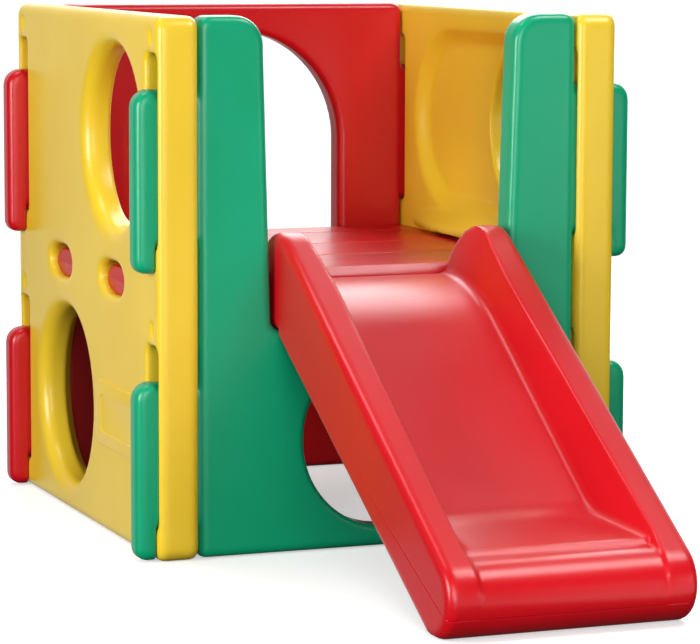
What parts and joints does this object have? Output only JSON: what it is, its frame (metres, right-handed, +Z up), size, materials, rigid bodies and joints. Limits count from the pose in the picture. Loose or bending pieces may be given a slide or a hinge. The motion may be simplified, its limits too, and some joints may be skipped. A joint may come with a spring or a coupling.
{
  "type": "toddler climbing gym",
  "caption": "Toddler climbing gym: hollow panels hook together into an open box with crawl holes, a doorway, a rear arch, a raised deck and a lift-off chute.",
  "frame": {"origin": "centre of the bounding box's bottom, on the floor", "axes": "+Y from the chute's foot to the rear panel, +Z up, +X to the right seen from the chute"},
  "size_m": [0.852, 1.515, 0.86],
  "materials": {
    "yellow_plastic": "satin, fine moulded grain",
    "green_plastic": "satin, fine moulded grain",
    "red_plastic": "satin, fine moulded grain"
  },
  "bodies": {
    "frame": {"left_wall": "yellow_plastic", "right_wall": "yellow_plastic", "platform": "red_plastic"},
    "front_panel": {"front_wall": "green_plastic"},
    "rear_panel": {"rear_wall": "red_plastic"},
    "slide": {"chute": "red_plastic"}
  },
  "joints": [
    {"name": "front_panel_lift", "type": "slide", "parent": "frame", "child": "front_panel", "axis": [0, 0, 1], "range_m": [0, 0.05]},
    {"name": "rear_panel_lift", "type": "slide", "parent": "frame", "child": "rear_panel", "axis": [0, 0, 1], "range_m": [0, 0.05]},
    {"name": "chute_lift_off", "type": "slide", "parent": "front_panel", "child": "slide", "axis": [0, 0, 1], "range_m": [0, 0.56]}
  ]
}
